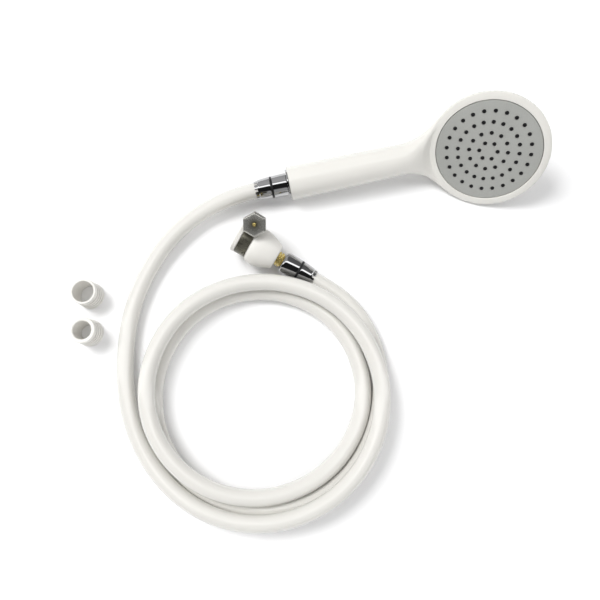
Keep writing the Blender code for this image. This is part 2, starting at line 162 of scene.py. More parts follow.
def make_material(name, colour, roughness, metallic=0.0, shade=0.93, patch=60, patch_stretch=(1, 1, 1),
                  rough_range=0.05, grain=(), coat=0.0, source="own", specular=0.5):
    """A procedural finish. colour drifts to colour * shade over patches; grain is a list of
    (cells a metre, stretch, depth in metres, strength) bumps. source is the "own" attribute, a piece's
    own coordinates, or an output of the Texture Coordinate node."""
    material = bpy.data.materials.new(name)
    material.use_nodes = True
    tree = material.node_tree
    shader = tree.nodes["Principled BSDF"]
    shader.inputs["Metallic"].default_value = metallic
    shader.inputs["Specular IOR Level"].default_value = specular
    shader.inputs["Coat Weight"].default_value = coat
    shader.inputs["Coat Roughness"].default_value = 0.06
    if source == "own":
        coords = add_node(tree, "ShaderNodeAttribute", attribute_name="own").outputs["Vector"]
    else:
        coords = add_node(tree, "ShaderNodeTexCoord").outputs[source]
    drift = noise(tree, coords, patch, patch_stretch)
    darker = tuple(c * shade for c in colour)
    tree.links.new(mixed(tree, ranged(tree, drift, 0, 1), darker, colour), shader.inputs["Base Color"])
    wear = noise(tree, coords, patch * 3.1, patch_stretch, detail=5)
    rough = ranged(tree, wear, roughness - rough_range, roughness + rough_range)
    tree.links.new(rough, shader.inputs["Roughness"])
    normal = None
    for scale, stretch, depth, strength in grain:
        bump = add_node(tree, "ShaderNodeBump", Strength=strength, Distance=depth)
        tree.links.new(noise(tree, coords, scale, stretch, detail=2), bump.inputs["Height"])
        if normal is not None:
            tree.links.new(normal, bump.inputs["Normal"])
        normal = bump.outputs["Normal"]
    if normal is not None:
        tree.links.new(normal, shader.inputs["Normal"])
    return material


def speckle(material, scale, dark, light):
    """Fine colour grain multiplied on to the finish."""
    tree = material.node_tree
    shader = tree.nodes["Principled BSDF"]
    base = shader.inputs["Base Color"].links[0].from_socket
    coords = next(node for node in tree.nodes if node.type == "ATTRIBUTE").outputs["Vector"]
    factor = ranged(tree, noise(tree, coords, scale, detail=2, rough=0.7), 0, 1, 0.35, 0.65)
    node = add_node(tree, "ShaderNodeMix", data_type="RGBA", blend_type="MULTIPLY")
    node.inputs["Factor"].default_value = 1.0
    tree.links.new(base, node.inputs[6])
    tree.links.new(mixed(tree, factor, (dark,) * 3, (light,) * 3), node.inputs[7])
    tree.links.new(node.outputs[2], shader.inputs["Base Color"])
    return material


def with_polish_and_painted_shade(material, roughness, colour):
    """Where a piece's vertices are marked, the finish has this roughness and colour instead: a polished bevel
    on the hex cap, and painted shade in the sleeves' grooves.
    """
    tree = material.node_tree
    shader = tree.nodes["Principled BSDF"]
    amount = add_node(tree, "ShaderNodeAttribute", attribute_name="polish_and_painted_shade").outputs["Fac"]
    base = shader.inputs["Base Color"].links[0].from_socket
    tree.links.new(mixed(tree, amount, base, colour), shader.inputs["Base Color"])
    blend = add_node(tree, "ShaderNodeMix")
    tree.links.new(amount, blend.inputs["Factor"])
    tree.links.new(shader.inputs["Roughness"].links[0].from_socket, blend.inputs["A"])
    blend.inputs["B"].default_value = roughness
    tree.links.new(blend.outputs["Result"], shader.inputs["Roughness"])
    return material


WHITE_GLOSS = make_material("white_gloss_plastic", (0.755, 0.742, 0.702), 0.17, shade=0.985, patch=25,
                            grain=[(420, (1, 1, 1), 0.00008, 0.12), (90, (4, 1, 1), 0.0003, 0.05)])
HOSE_PVC = make_material("hose_pvc", (0.728, 0.716, 0.679), 0.15, shade=0.975, patch=1.0,
                         patch_stretch=(0.5, 0.2, 1), coat=0.3, source="UV",
                         grain=[(6.0, (2.5, 0.5, 1), 0.0004, 0.10), (40.0, (6, 2, 1), 0.0001, 0.06)])
GREY_PLATE = speckle(make_material("grey_plate", (0.385, 0.39, 0.37), 0.40, shade=0.96, patch=40,
                                   rough_range=0.07, grain=[(2600, (1, 1, 1), 0.00006, 0.35)]),
                     1900, 0.88, 1.08)
BLACK_RUBBER = make_material("black_rubber", (0.014, 0.014, 0.015), 0.46, shade=0.6, patch=300,
                             rough_range=0.1, grain=[(1500, (1, 1, 1), 0.00005, 0.3)])
CHROME = make_material("chrome", (0.52, 0.52, 0.525), 0.06, metallic=1.0, shade=0.90, patch=70,
                       rough_range=0.025, grain=[(900, (0.35, 6, 6), 0.00002, 0.08)])
BRASS = make_material("brass", (0.93, 0.75, 0.28), 0.24, metallic=0.75, shade=0.80, patch=160,
                      rough_range=0.06, grain=[(1400, (0.4, 5, 5), 0.00003, 0.25)])
BAND_STEEL = make_material("clamp_band_steel", (0.175, 0.168, 0.132), 0.30, metallic=0.7, shade=0.62,
                           patch=75, patch_stretch=(1.0, 0.35, 2), rough_range=0.08,
                           grain=[(2600, (0.3, 8, 8), 0.00003, 0.45)])
CAP_STEEL = with_polish_and_painted_shade(make_material("clamp_cap_steel", (0.180, 0.172, 0.138), 0.38, metallic=0.75, shade=0.72,
                                   patch=260, patch_stretch=(1, 0.3, 3), rough_range=0.08,
                                   grain=[(3000, (1, 0.4, 9), 0.00004, 0.5)]), 0.14, (0.56, 0.555, 0.52))
WHITE_RUBBER = make_material("white_rubber", (0.80, 0.785, 0.745), 0.40, shade=0.97, patch=55,
                             rough_range=0.06, grain=[(1700, (1, 1, 1), 0.00005, 0.22),
                                                      (160, (1, 1, 1), 0.0002, 0.08)])
# painted shade: the sleeves' grooves are painted a little darker than their ribs
SLEEVE_RUBBER = with_polish_and_painted_shade(make_material("sleeve_rubber", (0.84, 0.825, 0.785), 0.40, shade=0.97, patch=55,
                                       rough_range=0.06, grain=[(1700, (1, 1, 1), 0.00005, 0.22)]),
                         0.5, (0.47, 0.46, 0.43))
# the CAD's own inner nodes
INNER_PLASTIC = make_material("inner_plastic", (0.72, 0.71, 0.67), 0.38, shade=0.9, patch=90, source="Object",
                              grain=[(900, (1, 1, 1), 0.00005, 0.2)])
INNER_RUBBER = make_material("inner_rubber", (0.02, 0.02, 0.02), 0.5, shade=0.6, patch=300, source="Object",
                             grain=[(1500, (1, 1, 1), 0.00005, 0.3)])
INNER_BRASS = make_material("inner_brass", (0.76, 0.58, 0.22), 0.3, metallic=1.0, shade=0.7, patch=160,
                            source="Object", grain=[(1400, (1, 1, 1), 0.00003, 0.25)])


# ---------------------------------------------------------------- mesh helpers

def rounded(outline, radius, steps=3, least=14):
    """A closed outline with its corners rounded; a point's own third value takes the place of radius."""
    result = []
    count = len(outline)
    for k, point in enumerate(outline):
        here = np.array(point[:2], float)
        before = np.array(outline[k - 1][:2], float) - here
        after = np.array(outline[(k + 1) % count][:2], float) - here
        lengths = np.linalg.norm(before), np.linalg.norm(after)
        turn = math.degrees(math.acos(np.clip(-before @ after / (lengths[0] * lengths[1]), -1, 1)))
        own = point[2] if len(point) > 2 else radius
        reach = min(own, 0.45 * lengths[0], 0.45 * lengths[1])
        if turn < least or reach <= 0:
            result.append(tuple(here))
            continue
        start, end = here + before / lengths[0] * reach, here + after / lengths[1] * reach
        for t in np.linspace(0, 1, steps + 1):
            result.append(tuple((1 - t) ** 2 * start + 2 * t * (1 - t) * here + t ** 2 * end))
    return result


def smooth_run(points, per_span=6):
    """A Catmull-Rom run through (x, radius) points."""
    points = [np.array(p, float) for p in points]
    padded = [2 * points[0] - points[1], *points, 2 * points[-1] - points[-2]]
    result = []
    for a, b, c, d in zip(padded, padded[1:], padded[2:], padded[3:]):
        for t in np.arange(per_span) / per_span:
            result.append(tuple(0.5 * (2 * b + (c - a) * t + (2 * a - 5 * b + 4 * c - d) * t ** 2
                                       + (3 * b - a - 3 * c + d) * t ** 3)))
    return result + [tuple(points[-1])]


def turned_mesh(outline, sides, limit=None):
    """bmesh of a closed (x, radius) outline turned round X. limit(x, radius, angle) may draw a point in."""
    mesh = bmesh.new()
    rings = []
    for x, radius in outline:
        count = sides if radius > 1e-6 else 1
        ring = []
        for k in range(count):
            angle = 2 * math.pi * k / sides
            r = limit(x, radius, angle) if limit and count > 1 else radius
            ring.append(mesh.verts.new((x, r * math.cos(angle), r * math.sin(angle))))
        rings.append(ring)
    for here, there in zip(rings, rings[1:] + rings[:1]):
        for k in range(sides):
            n = (k + 1) % sides
            corners = [here[k % len(here)], here[n % len(here)], there[n % len(there)], there[k % len(there)]]
            corners = list(dict.fromkeys(corners))
            if len(corners) > 2:
                mesh.faces.new(corners)
    return mesh


def to_object(name, mesh, place, sharp=32):
    """A scene object from a bmesh in millimetres, placed by a frame matrix."""
    bmesh.ops.recalc_face_normals(mesh, faces=mesh.faces)
    data = bpy.data.meshes.new(name)
    mesh.to_mesh(data)
    mesh.free()
    data.transform(Matrix.Scale(MM, 4))
    data.shade_smooth()
    data.set_sharp_from_angle(angle=math.radians(sharp))
    piece = bpy.data.objects.new(name, data)
    bpy.context.scene.collection.objects.link(piece)
    piece.matrix_world = place
    return piece


def apply_modifiers(piece, sharp=32):
    bpy.context.view_layer.update()
    evaluated = piece.evaluated_get(bpy.context.evaluated_depsgraph_get())
    data = bpy.data.meshes.new_from_object(evaluated)
    data.name = piece.name
    piece.modifiers.clear()
    piece.data = data
    data.shade_smooth()
    data.set_sharp_from_angle(angle=math.radians(sharp))


def combine(piece, mesh, place, operation="DIFFERENCE", sharp=32, itself=False):
    """Boolean a bmesh into a piece, and apply it. itself is for a bmesh whose bodies cross each other."""
    other = to_object(piece.name + "_tool", mesh, place)
    modifier = piece.modifiers.new("cut", "BOOLEAN")
    modifier.operation = operation
    modifier.solver = "EXACT"
    modifier.object = other
    modifier.use_self = itself
    apply_modifiers(piece, sharp)
    bpy.data.objects.remove(other, do_unlink=True)


def soften(piece, width, segments=2, angle=32):
    """Small bevels on the sharp edges, applied."""
    modifier = piece.modifiers.new("bevel", "BEVEL")
    modifier.width = width * MM
    modifier.segments = segments
    modifier.limit_method = "ANGLE"
    modifier.angle_limit = math.radians(angle)
    apply_modifiers(piece, angle)


def attach(piece, body, look, slot, *stands_for):
    """Finish, body and the CAD nodes that a piece stands for; slot is not used. The mesh is put in the
    row frame, and its own coordinates are kept as an attribute for the grain of its material."""
    data = piece.data
    own = np.zeros(len(data.vertices) * 3, np.float32)
    data.vertices.foreach_get("co", own)
    data.attributes.new("own", "FLOAT_VECTOR", "POINT").data.foreach_set("vector", own)
    data.transform(piece.matrix_world)
    piece.matrix_world = Matrix.Identity(4)
    data.materials.clear()
    data.materials.append(look)
    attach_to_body(piece, body)
    if stands_for:
        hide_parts(*stands_for)
    return piece


def turned(name, outline, place, body, look, slot, sides=96, round_by=0.15, limit=None):
    """A turned piece that stands for the CAD node of its name."""
    piece = to_object(name + "_fine", turned_mesh(rounded(outline, round_by), sides, limit), place)
    return attach(piece, body, look, slot, name)


def own_turned(piece):
    """(x, radius) of a turned piece's vertices in millimetres, in the frame that it is drawn in."""
    own = np.zeros(len(piece.data.vertices) * 3, np.float32)
    piece.data.attributes["own"].data.foreach_get("vector", own)
    return own[::3] / MM, np.hypot(own[1::3], own[2::3]) / MM


def polish_and_painted_shade(piece, where):
    """Marks the vertices where the piece's material has its other finish: the hex cap's polished bevel, and
    the painted shade in the sleeves' grooves.
    """
    piece.data.attributes.new("polish_and_painted_shade", "FLOAT", "POINT").data.foreach_set("value", where.astype(np.float32))


def hexagon(across_flats, corner_cut, chamfers):
    """A limit for turned_mesh: draws points of at least half the flats' distance in to a hexagon.
    A chamfer is (x of the chamfered end, direction, radius at the end, slope)."""
    half = across_flats / 2

    def limit(x, radius, angle):
        if radius < half - 1e-6:
            return radius
        edge = half / math.cos(angle % (math.pi / 3) - math.pi / 6)
        edge = min(edge, half / math.cos(math.pi / 6) - corner_cut)
        for end, sense, inner, slope in chamfers:
            edge = min(edge, inner + max(0.0, (end - x) * sense) * slope)
        return edge
    return limit


# ---------------------------------------------------------------- the sprayer's white moulding

def outline_distance(x, r, outline):
    """Signed distance in the (x, r) plane to a closed outline, negative inside."""
    best = np.full(x.shape, 1e9)
    inside = np.zeros(x.shape, bool)
    for (x0, r0), (x1, r1) in zip(outline, outline[1:] + outline[:1]):
        dx, dr = x1 - x0, r1 - r0
        t = np.clip(((x - x0) * dx + (r - r0) * dr) / (dx * dx + dr * dr + 1e-12), 0, 1)
        best = np.minimum(best, (x - x0 - t * dx) ** 2 + (r - r0 - t * dr) ** 2)
        if abs(dr) > 1e-12:
            crosses = (r0 > r) != (r1 > r)
            inside ^= crosses & (x < x0 + (r - r0) / dr * dx)
    return np.where(inside, -1, 1) * np.sqrt(best)


def soft_min(a, b, k):
    """The lesser of two distances, blended where they differ by less than k."""
    h = np.clip(k - np.abs(a - b), 0, None) / k
    return np.minimum(a, b) - h * h * k / 4


face_tilt = SPRAYER.to_3x3().transposed() @ face_normal
HEAD_TILT_SIN, HEAD_TILT_COS = -face_tilt.x, face_tilt.z
HEAD_LOCAL = (SPRAYER.inverted() @ head_origin) / MM
HEAD_R, HANDLE_R = 50.25, 14.4
PLATE_R, POCKET_R = 43.3, 43.7
# the head's back and rim as (height over the face, radius), and the grip as (x, radius)
DOME = smooth_run([(-25.0, 0), (-24.4, 11), (-22.0, 22), (-17.0, 34), (-10.5, 43.5), (-5.0, 48.35),
                   (-2.0, HEAD_R), (-0.5, 49.75), (0.5, 47.85), (2.0, 45.5)], 4)
DOME += [(4.5, 42.0), (4.5, -30.0), (-25.0, -30.0)]
GRIP = [(-6.0, -20.0), (-6.0, HANDLE_R)]
GRIP += smooth_run([(0, HANDLE_R), (20, 14.3), (45, 14.1), (72, 13.7), (100, 13.1), (122, 12.6), (140, 11.8),
                    (152, 9.5)], 4)
GRIP += [(158, 5.0), (160, 0), (160, -20.0)]
RIM_INSET = 0.13  # keeps the round rim within the CAD's many-sided one
NECK_BLEND = 26.0  # how widely the handle flows into the head
# over the face, the moulding is cut level and then along a cone that flares from the rim to the neck
FACE_LEVEL, FLARE_START, FLARE_SLOPE = 0.35, 48.6, 0.842
# that cut's edge is crisp on the rim and softer out on the neck, over this start and length
EDGE_SHARP, EDGE_SOFT, EDGE_SPAN = 1.6, 5.4, (49.5, 6)
SHELL_LOW, SHELL_HIGH, SHELL_STEP = (-8.7, -54.3, -21.7), (221.4, 54.6, 46.2), 1.5


def sprayer_distance(points):
    """Signed distance to the moulding's outside, in the sprayer's frame, in millimetres."""
    px, py, pz = points[..., 0], points[..., 1], points[..., 2]
    grip = outline_distance(px, np.hypot(py, pz), GRIP)
    dx, dz = px - HEAD_LOCAL[0], pz - HEAD_LOCAL[2]
    w = -HEAD_TILT_SIN * dx + HEAD_TILT_COS * dz
    radius = np.hypot(py, HEAD_TILT_COS * dx + HEAD_TILT_SIN * dz)
    dome = outline_distance(w, radius, DOME) + RIM_INSET
    solid = soft_min(dome, grip, NECK_BLEND)
    flare = ((radius - FLARE_START) - FLARE_SLOPE * (w - FACE_LEVEL)) / math.hypot(1, FLARE_SLOPE)
    above = np.maximum(FACE_LEVEL - w, flare)
    blend = EDGE_SHARP + EDGE_SOFT * np.clip((radius - EDGE_SPAN[0]) / EDGE_SPAN[1], 0, 1)
    return -soft_min(-solid, above, blend)


def surface_net(distance, low, high, step):
    """Closed quad mesh of distance(points) = 0, with its vertices drawn on to the surface."""
    grid = [np.arange(a, b + step, step) for a, b in zip(low, high)]
    points = np.stack(np.meshgrid(*grid, indexing="ij"), -1)
    field = distance(points)
    size = np.array(field.shape) - 1
    corner = {(i, j, k): field[i:size[0] + i, j:size[1] + j, k:size[2] + k]
              for i in (0, 1) for j in (0, 1) for k in (0, 1)}
    count = sum((values < 0).astype(int) for values in corner.values())
    active = (count > 0) & (count < 8)
    index = np.full(size, -1)
    index[active] = np.arange(active.sum())
    total = np.zeros((active.sum(), 3))
    hits = np.zeros(active.sum())
    for first in corner:
        for axis in range(3):
            if first[axis]:
                continue
            second = tuple(1 if a == axis else v for a, v in enumerate(first))
            a, b = corner[first][active], corner[second][active]
            crossed = (a < 0) != (b < 0)
            t = np.where(crossed, a / np.where(crossed, a - b, 1), 0)
            offset = np.array(first, float) + t[:, None] * np.eye(3)[axis]
            total += np.where(crossed[:, None], offset, 0)
            hits += crossed
    verts = (np.argwhere(active) + total / hits[:, None]) * step + np.array([g[0] for g in grid])
    faces = []
    for axis in range(3):
        b, c = (axis + 1) % 3, (axis + 2) % 3
        here = np.moveaxis(field, (axis, b, c), (0, 1, 2))
        cells = np.moveaxis(index, (axis, b, c), (0, 1, 2))
        start, end = here[:-1, 1:-1, 1:-1] < 0, here[1:, 1:-1, 1:-1] < 0
        for sense, mask in ((1, start & ~end), (-1, ~start & end)):
            i, j, k = np.nonzero(mask)
            corners = (j, k), (j + 1, k), (j + 1, k + 1), (j, k + 1)
            faces.append(np.stack([cells[i, m, n] for m, n in corners], 1)[:, ::sense])
    for _ in range(4):
        value = distance(verts)
        slope = np.stack([distance(verts + e) - distance(verts - e) for e in np.eye(3) * 0.02], 1) / 0.04
        pull = value[:, None] * slope / np.maximum((slope ** 2).sum(1), 0.05)[:, None]
        verts = verts - np.clip(pull, -0.5 * step, 0.5 * step)
    return verts, np.concatenate(faces)


def make_handle():
    verts, faces = surface_net(sprayer_distance, SHELL_LOW, SHELL_HIGH, SHELL_STEP)
    data = bpy.data.meshes.new("handle_shell_fine")
    data.from_pydata((verts * MM).tolist(), [], faces.tolist())
    data.shade_smooth()
    piece = bpy.data.objects.new("handle_shell_fine", data)
    bpy.context.scene.collection.objects.link(piece)
    piece.matrix_world = SPRAYER
    # the flat end, with the bore that the coupling screws in to
    end = turned_mesh([(20, 0), (20, 10.5), (0.3, 10.5), (0.05, 10.7), (0, 11.0), (0, 13.3), (0.1, 13.75),
                       (0.35, 14.1), (0.8, 14.33), (0.9, 22), (-9, 22), (-9, 0)], 128)
    combine(piece, end, SPRAYER)
    # the slope down to the face, the face's pocket and the chamber behind it
    pocket = turned_mesh([
        (3, 0), (3, 45.6), (0.6, 44.3), (0.35, 44.05), (0.12, 43.78), (-0.2, POCKET_R), (-6.2, POCKET_R),
        (-6.2, 40.5), (-10, 40.5), (-10, 24), (-17.5, 24), (-17.5, 0)], 192)
    combine(piece, pocket, HEAD)
    attach(piece, "sprayer", WHITE_GLOSS, "white_gloss_plastic", "handle_shell")


# ---------------------------------------------------------------- the face

NOZZLE_RINGS = ((7.5, 6), (15.9, 12), (25.2, 20), (34.5, 24))  # radius and number
NOZZLE_CLOCK = -9.9  # degrees
PLATE_T, MAT_T, GAP = 2.4, 1.3, 0.3
HOLE_R, NOZZLE_R = 1.7, 1.5


def nozzle_places():
    """(y, z) of each nozzle in the head's frame."""
    for radius, count in NOZZLE_RINGS:
        for k in range(count):
            angle = math.radians(NOZZLE_CLOCK + 360 * k / count)
            yield radius * math.sin(angle), -radius * math.cos(angle)


def add_turned_at(mesh, outline, sides, y, z):
    """Adds a turned body at (y, z) to a bmesh."""
    part = turned_mesh(outline, sides)
    bmesh.ops.translate(part, verts=part.verts, vec=(0, y, z))
    data = bpy.data.meshes.new("part")
    part.to_mesh(data)
    part.free()
    mesh.from_mesh(data)
    bpy.data.meshes.remove(data)


def make_face():
    plate = to_object("face_plate_fine", turned_mesh(
        rounded([(-PLATE_T, 0, 0), (-PLATE_T, PLATE_R), (0, PLATE_R, 0.45), (0, 0, 0)], 0.15, 4), 160), HEAD)
    hole = [(-PLATE_T - 1, 0), (-PLATE_T - 1, HOLE_R), (-0.28, HOLE_R), (-0.1, HOLE_R + 0.06),
            (0.0, HOLE_R + 0.2), (0.6, 2.6), (0.6, 0)]
    holes = bmesh.new()
    for y, z in nozzle_places():
        add_turned_at(holes, hole, 20, y, z)
    combine(plate, holes, HEAD, sharp=18)
    attach(plate, "sprayer", GREY_PLATE, "grey_plate", "face_plate")

    front = -PLATE_T - GAP
    back = front - MAT_T
    mat = to_object("nozzle_mat_fine", turned_mesh(
        rounded([(back, 0, 0), (back, PLATE_R), (front, PLATE_R), (front, 0, 0)], 0.2), 96), HEAD)
    root = front - MAT_T / 2
    nozzle = [(root, 0), (root, 1.6), (front, 1.6), (front + 0.5, 1.52), (-0.5, NOZZLE_R), (0.0, 1.44),
              (0.2, 1.3), (0.3, 1.05), (0.27, 0.7), (-0.3, 0.45), (-0.8, 0.4), (-0.8, 0)]
    nozzles = bmesh.new()
    for y, z in nozzle_places():
        add_turned_at(nozzles, nozzle, 16, y, z)
    combine(mat, nozzles, HEAD, "UNION")
    attach(mat, "sprayer", BLACK_RUBBER, "black_rubber", "nozzle_mat")


# ---------------------------------------------------------------- couplings

NUT_REAR, FERRULE_FRONT, FERRULE_END, TAIL_END = -14.6, -16.3, -27.2, -30.3
SLOT_WIDTH, SLOT_LINES = 2.2, 4  # each line across the ferrule's tail makes two slots


def make_coupling(prefix, place, nut_body, nut):
    turned(prefix + "_nut", nut, place, nut_body, CHROME, "chrome", sides=128, round_by=0.3)
    ring = [(-16.24, 6.2), (-16.24, 9.3), (-15.45, 9.45), (-14.66, 9.3), (-14.66, 6.2)]
    turned(prefix + "_swivel_ring", ring, place, "hose", BLACK_RUBBER, "black_rubber", sides=128)
    outline = rounded([(FERRULE_FRONT, 7.35), (FERRULE_FRONT, 9.38, 0.35), (FERRULE_FRONT - 1.1, 9.38),
                       (FERRULE_END + 0.8, 8.7), (FERRULE_END, 8.2, 0.1), (TAIL_END + 0.4, 7.9, 0.3),
                       (TAIL_END, 7.6), (TAIL_END, 7.35)], 0.25)
    ferrule = to_object(prefix + "_ferrule_fine", turned_mesh(outline, 128), place)
    slots = bmesh.new()
    slot_start, slot_end = TAIL_END - 1, FERRULE_END - 0.4
    reach = slot_end - slot_start
    middle = Matrix.Translation((slot_start + reach / 2, 0, 0))
    for k in range(SLOT_LINES):
        turn = Matrix.Rotation(math.pi / SLOT_LINES * (k + 0.5), 4, "X")
        shape = turn @ middle @ Matrix.Diagonal((reach, 20.0, SLOT_WIDTH, 1.0))
        bmesh.ops.create_cube(slots, size=1.0, matrix=shape)
    combine(ferrule, slots, place, itself=True)
    attach(ferrule, "hose", CHROME, "chrome", prefix + "_ferrule")


def make_couplings():
    make_coupling("handle", SPRAYER, "sprayer", [
        (NUT_REAR, 7.2), (NUT_REAR, 9.45, 0.5), (-3.4, 9.78, 0), (-1.8, 9.8, 0.5), (-1.8, 8.05),
        (11.0, 8.05, 0.5), (11.0, 4.4), (-7.2, 4.4), (-7.2, 7.2)])
    make_coupling("tap", TAP, "connector", [
        (NUT_REAR, 7.2), (NUT_REAR, 9.45, 0.5), (-2.9, 9.8, 0.6), (-1.4, 9.55, 0.3), (-0.4, 9.0, 0.3),
        (0.35, 8.0, 0.3), (0.8, 7.0, 0.3), (0.8, 5.9), (-7.0, 5.9), (-7.0, 7.2)])
    turned("inlet_insert", [
        (-1.5, 8.45), (-1.5, 12.4, 0.4), (-0.3, 12.5, 0.2), (-0.3, 10.1), (16, 10.1, 0.4), (16, 5.2),
        (14.2, 5.2), (14.2, 8.45)], SPRAYER, "sprayer", CHROME, "chrome", sides=128)


# ---------------------------------------------------------------- hose

CAD_HOSE_R, CAD_HOSE_SIDES = 7.0, 8
HOSE_R, HOSE_BORE_R, HOSE_SIDES, HOSE_STEP = 6.93, 4.6, 32, 4.0
UV_A_STEP = 0.04  # how far the finish runs from one row of the mesh to the next


def ring_centres():
    """Centres of the CAD hose's outer rings in order from the tap end, in millimetres."""
    data = nodes["hose"].data
    points, same = np.unique(np.round(node_points("hose") / MM, 3), axis=0, return_inverse=True)
    same = same.ravel()
    pairs = np.unique(np.sort(same[np.array([edge.vertices[:] for edge in data.edges])], axis=1), axis=0)
    lengths = np.linalg.norm(points[pairs[:, 0]] - points[pairs[:, 1]], axis=1)
    chord = 2 * CAD_HOSE_R * math.sin(math.pi / CAD_HOSE_SIDES)
    ring_edges = pairs[np.abs(lengths - chord) < 0.12]
    label = np.arange(len(points))
    changed = True
    while changed:
        least = np.minimum(label[ring_edges[:, 0]], label[ring_edges[:, 1]])
        before = label.copy()
        np.minimum.at(label, ring_edges[:, 0], least)
        np.minimum.at(label, ring_edges[:, 1], least)
        changed = bool((label != before).any())
    names, sizes = np.unique(label[np.unique(ring_edges)], return_counts=True)
    rings = {int(n): points[label == n].mean(axis=0) for n, s in zip(names, sizes) if s == CAD_HOSE_SIDES}
    near = {n: set() for n in rings}
    for a, b in label[pairs[lengths > 10]]:  # only the edges from ring to ring are so long
        if a != b and a in near and b in near:
            near[a].add(int(b))
            near[b].add(int(a))
    ends = [n for n, others in near.items() if len(others) == 1]
    here = min(ends, key=lambda n: np.linalg.norm(rings[n] - np.array(tap_origin) / MM))
    order = [here]
    while True:
        ahead = [n for n in near[order[-1]] if n not in order]
        if not ahead:
            return np.array([rings[n] for n in order])
        order.append(ahead[0])


def spline_through(points, step):
    """Points every step or so along a natural cubic spline through the given ones."""
    gaps = np.linalg.norm(np.diff(points, axis=0), axis=1)
    along = np.concatenate([[0.0], np.cumsum(gaps)])
    count = len(points)
    matrix = np.zeros((count, count))
    target = np.zeros((count, 3))
    matrix[0, 0] = matrix[-1, -1] = 1.0
    for k in range(1, count - 1):
        matrix[k, k - 1:k + 2] = gaps[k - 1], 2 * (gaps[k - 1] + gaps[k]), gaps[k]
        target[k] = 6 * ((points[k + 1] - points[k]) / gaps[k] - (points[k] - points[k - 1]) / gaps[k - 1])
    bend = np.linalg.solve(matrix, target)
    result = []
    for s in np.linspace(0, along[-1], round(along[-1] / step) + 1):
        k = min(int(np.searchsorted(along, s, side="right")) - 1, count - 2)
        left, right, gap = along[k + 1] - s, s - along[k], gaps[k]
        curve = (bend[k] * left ** 3 + bend[k + 1] * right ** 3) / (6 * gap)
        line = (points[k] / gap - bend[k] * gap / 6) * left
        line = line + (points[k + 1] / gap - bend[k + 1] * gap / 6) * right
        result.append(curve + line)
    return result


def make_hose():
    line = [Vector(p) for p in spline_through(ring_centres(), HOSE_STEP)]
    mesh = bmesh.new()
    layer = mesh.loops.layers.uv.new("run")
    skins = [[], []]
    side = Vector((0, 0, 1))
    for k, point in enumerate(line):
        ahead = (line[min(k + 1, len(line) - 1)] - line[max(k - 1, 0)]).normalized()
        side = (side - ahead * side.dot(ahead)).normalized()
        across = ahead.cross(side)
        for skin, radius in zip(skins, (HOSE_R, HOSE_BORE_R)):
            skin.append([mesh.verts.new(point + radius * (math.cos(a) * side + math.sin(a) * across))
                         for a in (2 * math.pi * n / HOSE_SIDES for n in range(HOSE_SIDES))])
    loops = skins[0] + skins[1][::-1]
    for row, (here, there) in enumerate(zip(loops, loops[1:] + loops[:1])):
        for k in range(HOSE_SIDES):
            n = (k + 1) % HOSE_SIDES
            face = mesh.faces.new((here[k], here[n], there[n], there[k]))
            for loop, (u, v) in zip(face.loops, ((row, k), (row, k + 1), (row + 1, k + 1), (row + 1, k))):
                loop[layer].uv = (u * UV_A_STEP, v / HOSE_SIDES)
    piece = to_object("hose_fine", mesh, Matrix.Identity(4), sharp=50)
    attach(piece, "hose", HOSE_PVC, "hose_pvc", "hose")


# ---------------------------------------------------------------- tap connector

def make_connector():
    dome = smooth_run([(0.3, 10.5), (1.2, 11.35), (6, 13.55), (12, 15.5), (17, 16.45), (21, 16.25),
                       (23.6, 15.35)], 6)
    lip = [(24.3, 14.8, 0.3), (24.8, 13.0, 0.2), (34.8, 13.0, 0.2), (35.05, 14.1, 0.3), (35.9, 14.2, 0.1),
           (36.1, 13.95, 0), (36.3, 14.2, 0.1), (37.0, 14.2, 0.1), (37.2, 13.95, 0), (37.4, 14.2, 0.1),
           (38.1, 14.15, 0.3), (38.6, 13.6, 0.3), (38.6, 11.9, 0.3), (38.2, 11.6, 0.2)]
    outline = [(0, 5.35), (0, 10.0, 0.2), *dome, *lip, (13.2, 11.6, 0.2), (12, 10.4, 0.2), (12, 5.35)]
    turned("connector_body", outline, BODY, "connector", WHITE_RUBBER, "white_rubber", sides=160)

    # a row of flats at the body and another at the nut, with a groove between
    rows = [(1.2, 4.85), (1.5, 4.85), (1.6, 5.7, 0), (1.9, 5.75, 0), (3.2, 5.75, 0), (3.5, 5.7, 0),
            (3.6, 5.0, 0.1), (4.1, 5.0, 0.1), (4.2, 5.7, 0), (4.5, 5.75, 0), (5.7, 5.75, 0), (6.0, 5.7, 0)]
    stem = [(6.0, 5.0), (22.9, 5.0, 0.3), (23.3, 4.6), (23.3, 3.2)]
    turned("brass_nipple", [(-6.6, 3.2), (-6.6, 5.5), (0.9, 5.5), *rows, *stem],
           TAP, "connector", BRASS, "brass", sides=96,
           limit=hexagon(11.4, 0.12, [(1.6, -1, 5.95, 1.1), (6.0, 1, 5.95, 1.1)]))
    turned("nipple_locknut", [
        (12.3, 5.3), (12.3, 6.5, 0), (12.8, 6.55, 0), (15.2, 6.55, 0), (15.7, 6.5, 0), (15.7, 5.3)],
        BODY, "connector", BRASS, "brass", sides=96, limit=hexagon(13.0, 0.2, [(15.7, 1, 6.7, 1.2)]))


BAND_EDGES = 25.1, 34.5
EAR_END = -21.5


def band_outline():
    """The band's section with its two ears: the outer side, then back along the inner side."""
    sides = []
    for radius, z, bend in ((13.9, 3.1, 1.6), (13.3, 2.2, 1.0)):
        start = math.pi - math.asin(z / radius)
        arc = [(radius * math.cos(a), radius * math.sin(a)) for a in np.linspace(start, -start, 97)]
        foot = arc[0][0] - bend
        sides.append(rounded([(EAR_END, z), (EAR_END + 3, z), (foot, z), (*arc[0], bend), *arc[3:-3],
                              (*arc[-1], bend), (foot, -z), (EAR_END + 3, -z), (EAR_END, -z)], 0.0, 5))
    return sides[0] + sides[1][::-1]


